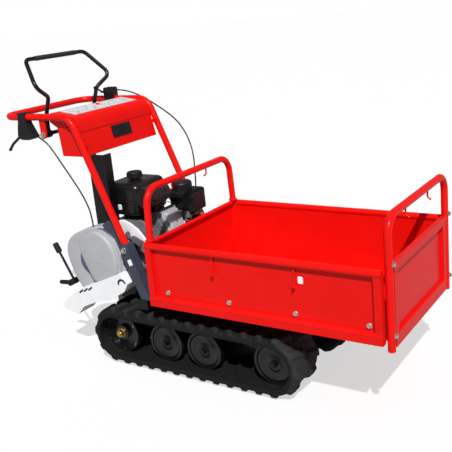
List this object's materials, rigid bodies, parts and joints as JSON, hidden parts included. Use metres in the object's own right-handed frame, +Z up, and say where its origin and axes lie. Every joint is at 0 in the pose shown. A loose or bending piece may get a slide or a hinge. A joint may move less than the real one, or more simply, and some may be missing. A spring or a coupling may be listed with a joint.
{
  "type": "tracked power wheelbarrow",
  "caption": "Walk-behind tracked dumper: tipping red load bed with guard arches and drop gate, rear engine under covers, looped handle with clutch bail and levers.",
  "frame": {"origin": "on the ground under the middle of the machine", "axes": "+X forward toward the gate, +Y to the machine's left, +Z up"},
  "size_m": [1.6486, 0.615, 1.205],
  "materials": {
    "red_paint": "gloss red powder coat on steel",
    "black_paint": "satin black paint on steel",
    "slate_paint": "satin slate blue-grey paint on steel",
    "rubber_black": "moulded carbon-black track rubber",
    "belt_rubber": "fabric-backed V-belt",
    "wheel_iron": "painted cast iron",
    "brass_yellow": "yellow passivated zinc",
    "zinc_steel": "bright zinc plate",
    "cast_aluminium": "die-cast, matte",
    "bright_aluminium": "pressed cover, bright",
    "hot_steel": "heat-dulled sheet steel",
    "grey_plastic": "light grey moulded cover",
    "black_plastic": "black moulded nylon",
    "grip_rubber": "soft black sleeve",
    "cable_black": "PVC cable sheath",
    "orange_plastic": "orange lever",
    "label_film": "pale laminated plate"
  },
  "bodies": {
    "chassis": {"air_cleaner": "black_plastic", "belt_cover": "grey_plastic", "brake_cable": "cable_black", "carburettor": "cast_aluminium", "chassis_frame": "black_paint", "control_box": "red_paint", "cross_tube": "black_paint", "drive_belt": "belt_rubber", "engine_base": "black_paint", "engine_block": "cast_aluminium", "front_plate": "black_plastic", "fuel_tank": "black_paint", "gearbox": "cast_aluminium", "handle_brackets": "slate_paint", "handle_frame": "red_paint", "label_plate": "label_film", "lever_clamps": "black_plastic", "muffler": "hot_steel", "muffler_guard": "black_paint", "pins_and_bolts": "zinc_steel", "rear_column": "black_paint", "rear_fender": "grey_plastic", "recoil_cover": "black_plastic", "rubber_track_left": "rubber_black", "rubber_track_right": "rubber_black", "throttle_cable": "cable_black", "track_frame_left": "black_paint", "track_frame_right": "black_paint", "valve_cover": "bright_aluminium"},
    "bed": {"bed_floor": "red_paint", "side_panel_right": "red_paint", "side_panel_left": "red_paint", "rear_panel": "red_paint", "rear_guard": "red_paint", "front_guard": "red_paint", "bed_bolts": "zinc_steel"},
    "gate": {"front_gate": "red_paint"},
    "clutch": {"clutch_loop": "black_paint", "clutch_sleeve": "grip_rubber"},
    "tensioner": {"tension_arm": "black_paint"},
    "brake": {"brake_lever": "black_plastic"},
    "throttle": {"throttle_lever": "black_plastic"},
    "shift": {"gear_lever": "zinc_steel", "gear_knob": "black_plastic"},
    "range_shift": {"speed_lever": "black_plastic"},
    "choke": {"choke_lever": "orange_plastic"},
    "tank_cap": {"fuel_cap": "black_plastic"},
    "starter_grip": {"recoil_grip": "black_plastic"},
    "engine_wheel": {"engine_pulley": "wheel_iron"},
    "gear_wheel": {"gearbox_pulley": "wheel_iron"},
    "sprocket_right": {"drive_sprocket_right": "wheel_iron", "hub_nuts_right": "brass_yellow"},
    "idler_right": {"idler_wheel_right": "wheel_iron"},
    "rear_roller_body_right": {"rear_roller_right": "wheel_iron"},
    "front_roller_body_right": {"front_roller_right": "wheel_iron"},
    "sprocket_left": {"drive_sprocket_left": "wheel_iron", "hub_nuts_left": "brass_yellow"},
    "idler_left": {"idler_wheel_left": "wheel_iron"},
    "rear_roller_body_left": {"rear_roller_left": "wheel_iron"},
    "front_roller_body_left": {"front_roller_left": "wheel_iron"}
  },
  "joints": [
    {"name": "sprocket_spin_right", "type": "hinge", "parent": "chassis", "child": "sprocket_right", "pos_m": [-0.335, -0.189, 0.11694], "axis": [0, 1, 0], "continuous": true},
    {"name": "idler_spin_right", "type": "hinge", "parent": "chassis", "child": "idler_right", "pos_m": [0.355, -0.189, 0.11694], "axis": [0, 1, 0], "continuous": true},
    {"name": "rear_roller_spin_right", "type": "hinge", "parent": "chassis", "child": "rear_roller_body_right", "pos_m": [-0.117, -0.189, 0.1113], "axis": [0, 1, 0], "continuous": true},
    {"name": "front_roller_spin_right", "type": "hinge", "parent": "chassis", "child": "front_roller_body_right", "pos_m": [0.058, -0.189, 0.1113], "axis": [0, 1, 0], "continuous": true},
    {"name": "sprocket_spin_left", "type": "hinge", "parent": "chassis", "child": "sprocket_left", "pos_m": [-0.335, 0.189, 0.11694], "axis": [0, 1, 0], "continuous": true},
    {"name": "idler_spin_left", "type": "hinge", "parent": "chassis", "child": "idler_left", "pos_m": [0.355, 0.189, 0.11694], "axis": [0, 1, 0], "continuous": true},
    {"name": "rear_roller_spin_left", "type": "hinge", "parent": "chassis", "child": "rear_roller_body_left", "pos_m": [-0.117, 0.189, 0.1113], "axis": [0, 1, 0], "continuous": true},
    {"name": "front_roller_spin_left", "type": "hinge", "parent": "chassis", "child": "front_roller_body_left", "pos_m": [0.058, 0.189, 0.1113], "axis": [0, 1, 0], "continuous": true},
    {"name": "bed_tip", "type": "hinge", "parent": "chassis", "child": "bed", "pos_m": [0.48, 0, 0.258], "axis": [0, 1, 0], "range_deg": [0, 45]},
    {"name": "gate_swing", "type": "hinge", "parent": "bed", "child": "gate", "pos_m": [0.801, 0, 0.53], "axis": [0, -1, 0], "range_deg": [0, 75]},
    {"name": "clutch_pull", "type": "hinge", "parent": "chassis", "child": "clutch", "pos_m": [-0.601, -0.07, 0.905], "axis": [0, -1, 0], "range_deg": [0, 32], "stiffness_Nm_per_rad": 5, "springref_deg": -11.46},
    {"name": "tension_swing", "type": "hinge", "parent": "chassis", "child": "tensioner", "pos_m": [-0.385, -0.147, 0.312], "axis": [0, -1, 0], "range_deg": [0, 3]},
    {"name": "brake_squeeze", "type": "hinge", "parent": "chassis", "child": "brake", "pos_m": [-0.7, -0.232, 0.915], "axis": [0, 1, 0], "range_deg": [0, 25], "stiffness_Nm_per_rad": 0.8, "springref_deg": -20.05},
    {"name": "throttle_turn", "type": "hinge", "parent": "chassis", "child": "throttle", "pos_m": [-0.664, 0.232, 1.006], "axis": [0, 1, 0], "range_deg": [0, 40]},
    {"name": "shift_turn", "type": "hinge", "parent": "chassis", "child": "shift", "pos_m": [-0.592, -0.2, 0.29], "axis": [0, 1, 0], "range_deg": [-12, 12]},
    {"name": "range_turn", "type": "hinge", "parent": "chassis", "child": "range_shift", "pos_m": [-0.592, -0.22, 0.29], "axis": [0, 1, 0], "range_deg": [-10, 15]},
    {"name": "choke_turn", "type": "hinge", "parent": "chassis", "child": "choke", "pos_m": [-0.176, 0.109, 0.524], "axis": [0, 1, 0], "range_deg": [-20, 20]},
    {"name": "cap_turn", "type": "hinge", "parent": "chassis", "child": "tank_cap", "pos_m": [-0.372, 0, 0.7], "axis": [0, 0, 1], "range_deg": [0, 90]},
    {"name": "starter_pull", "type": "slide", "parent": "chassis", "child": "starter_grip", "axis": [0, 0, 1], "range_m": [0, 0.24], "stiffness_N_per_m": 15, "springref_m": -0.1},
    {"name": "gear_wheel_spin", "type": "hinge", "parent": "chassis", "child": "gear_wheel", "pos_m": [-0.45, -0.184, 0.322], "axis": [0, 1, 0], "continuous": true},
    {"name": "engine_wheel_spin", "type": "hinge", "parent": "chassis", "child": "engine_wheel", "pos_m": [-0.352, -0.184, 0.452], "axis": [0, 1, 0], "continuous": true}
  ],
  "couplings": [
    {"joint": "idler_spin_right", "follows": "sprocket_spin_right", "ratio": 1},
    {"joint": "rear_roller_spin_right", "follows": "sprocket_spin_right", "ratio": 1.0803},
    {"joint": "front_roller_spin_right", "follows": "sprocket_spin_right", "ratio": 1.0803},
    {"joint": "idler_spin_left", "follows": "sprocket_spin_left", "ratio": 1},
    {"joint": "rear_roller_spin_left", "follows": "sprocket_spin_left", "ratio": 1.0803},
    {"joint": "front_roller_spin_left", "follows": "sprocket_spin_left", "ratio": 1.0803},
    {"joint": "tension_swing", "follows": "clutch_pull", "ratio": 0.09375},
    {"joint": "engine_wheel_spin", "follows": "gear_wheel_spin", "ratio": 1.2778}
  ]
}
